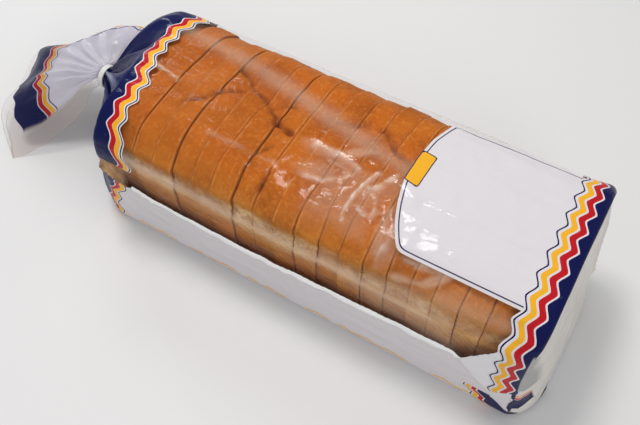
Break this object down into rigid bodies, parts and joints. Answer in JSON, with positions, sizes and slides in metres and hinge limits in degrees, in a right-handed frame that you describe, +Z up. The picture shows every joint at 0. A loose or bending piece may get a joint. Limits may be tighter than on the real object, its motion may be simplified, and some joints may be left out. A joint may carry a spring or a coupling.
{
  "type": "sliced tin loaf in a bag",
  "caption": "Sliced white tin loaf standing together in a printed clear film bag, gathered and tied at the neck with a fanned tail.",
  "frame": {"origin": "on the resting surface, under the middle of the whole object's box", "axes": "+X along the loaf towards the bag's closed end, the gathered tail towards -X, -Y the front side, +Z up"},
  "size_m": [0.4162, 0.117, 0.1],
  "materials": {
    "bread": "matte",
    "film": "gloss",
    "tie": "satin"
  },
  "bodies": {
    "root": {"slice_01": "bread", "slice_02": "bread", "slice_03": "bread", "slice_04": "bread", "slice_05": "bread", "slice_06": "bread", "slice_07": "bread", "slice_08": "bread", "slice_09": "bread", "slice_10": "bread", "slice_11": "bread", "slice_12": "bread", "slice_13": "bread", "slice_14": "bread", "slice_15": "bread", "slice_16": "bread", "slice_17": "bread", "slice_18": "bread", "slice_19": "bread", "slice_20": "bread", "bag": "film", "twist_tie": "tie"}
  },
  "joints": []
}
